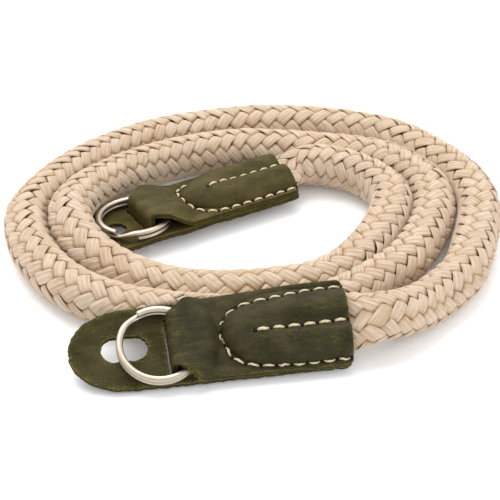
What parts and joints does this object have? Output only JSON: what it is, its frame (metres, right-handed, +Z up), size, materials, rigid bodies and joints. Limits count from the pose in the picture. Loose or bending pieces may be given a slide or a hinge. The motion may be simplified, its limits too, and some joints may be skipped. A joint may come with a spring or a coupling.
{
  "type": "camera strap",
  "caption": "Braided rope camera strap in a loose oval coil, with slotted leather ends, each holding a split ring in a folded tongue.",
  "frame": {"origin": "middle of the coiled strap's outline, on the surface that it lies on", "axes": "+Z up; +X along the front leather end, from its tab toward its sleeve; +Y from the front leather end across the coil"},
  "size_m": [0.1265, 0.1173, 0.015],
  "materials": {
    "rope": "matte braided cord, beige",
    "front_leather": "dark olive nubuck with a soft sheen",
    "rear_leather": "olive nubuck with a soft sheen",
    "nickel": "polished nickel"
  },
  "bodies": {
    "strap": {"braided_rope": "rope", "front_tab_leather": "front_leather", "front_sleeve_leather": "front_leather", "rear_tab_leather": "rear_leather", "rear_sleeve_leather": "rear_leather"},
    "front_ring": {"front_split_ring": "nickel"},
    "rear_ring": {"rear_split_ring": "nickel"}
  },
  "joints": [
    {"name": "front_ring_turn", "type": "hinge", "parent": "strap", "child": "front_ring", "pos_m": [-0.02152, -0.04924, 0.00703], "axis": [0.0706, -0.4006, 0.9135], "continuous": true},
    {"name": "rear_ring_turn", "type": "hinge", "parent": "strap", "child": "rear_ring", "pos_m": [-0.03052, 0.00562, 0.00552], "axis": [-0.0344, 0.0607, 0.9976], "continuous": true}
  ]
}
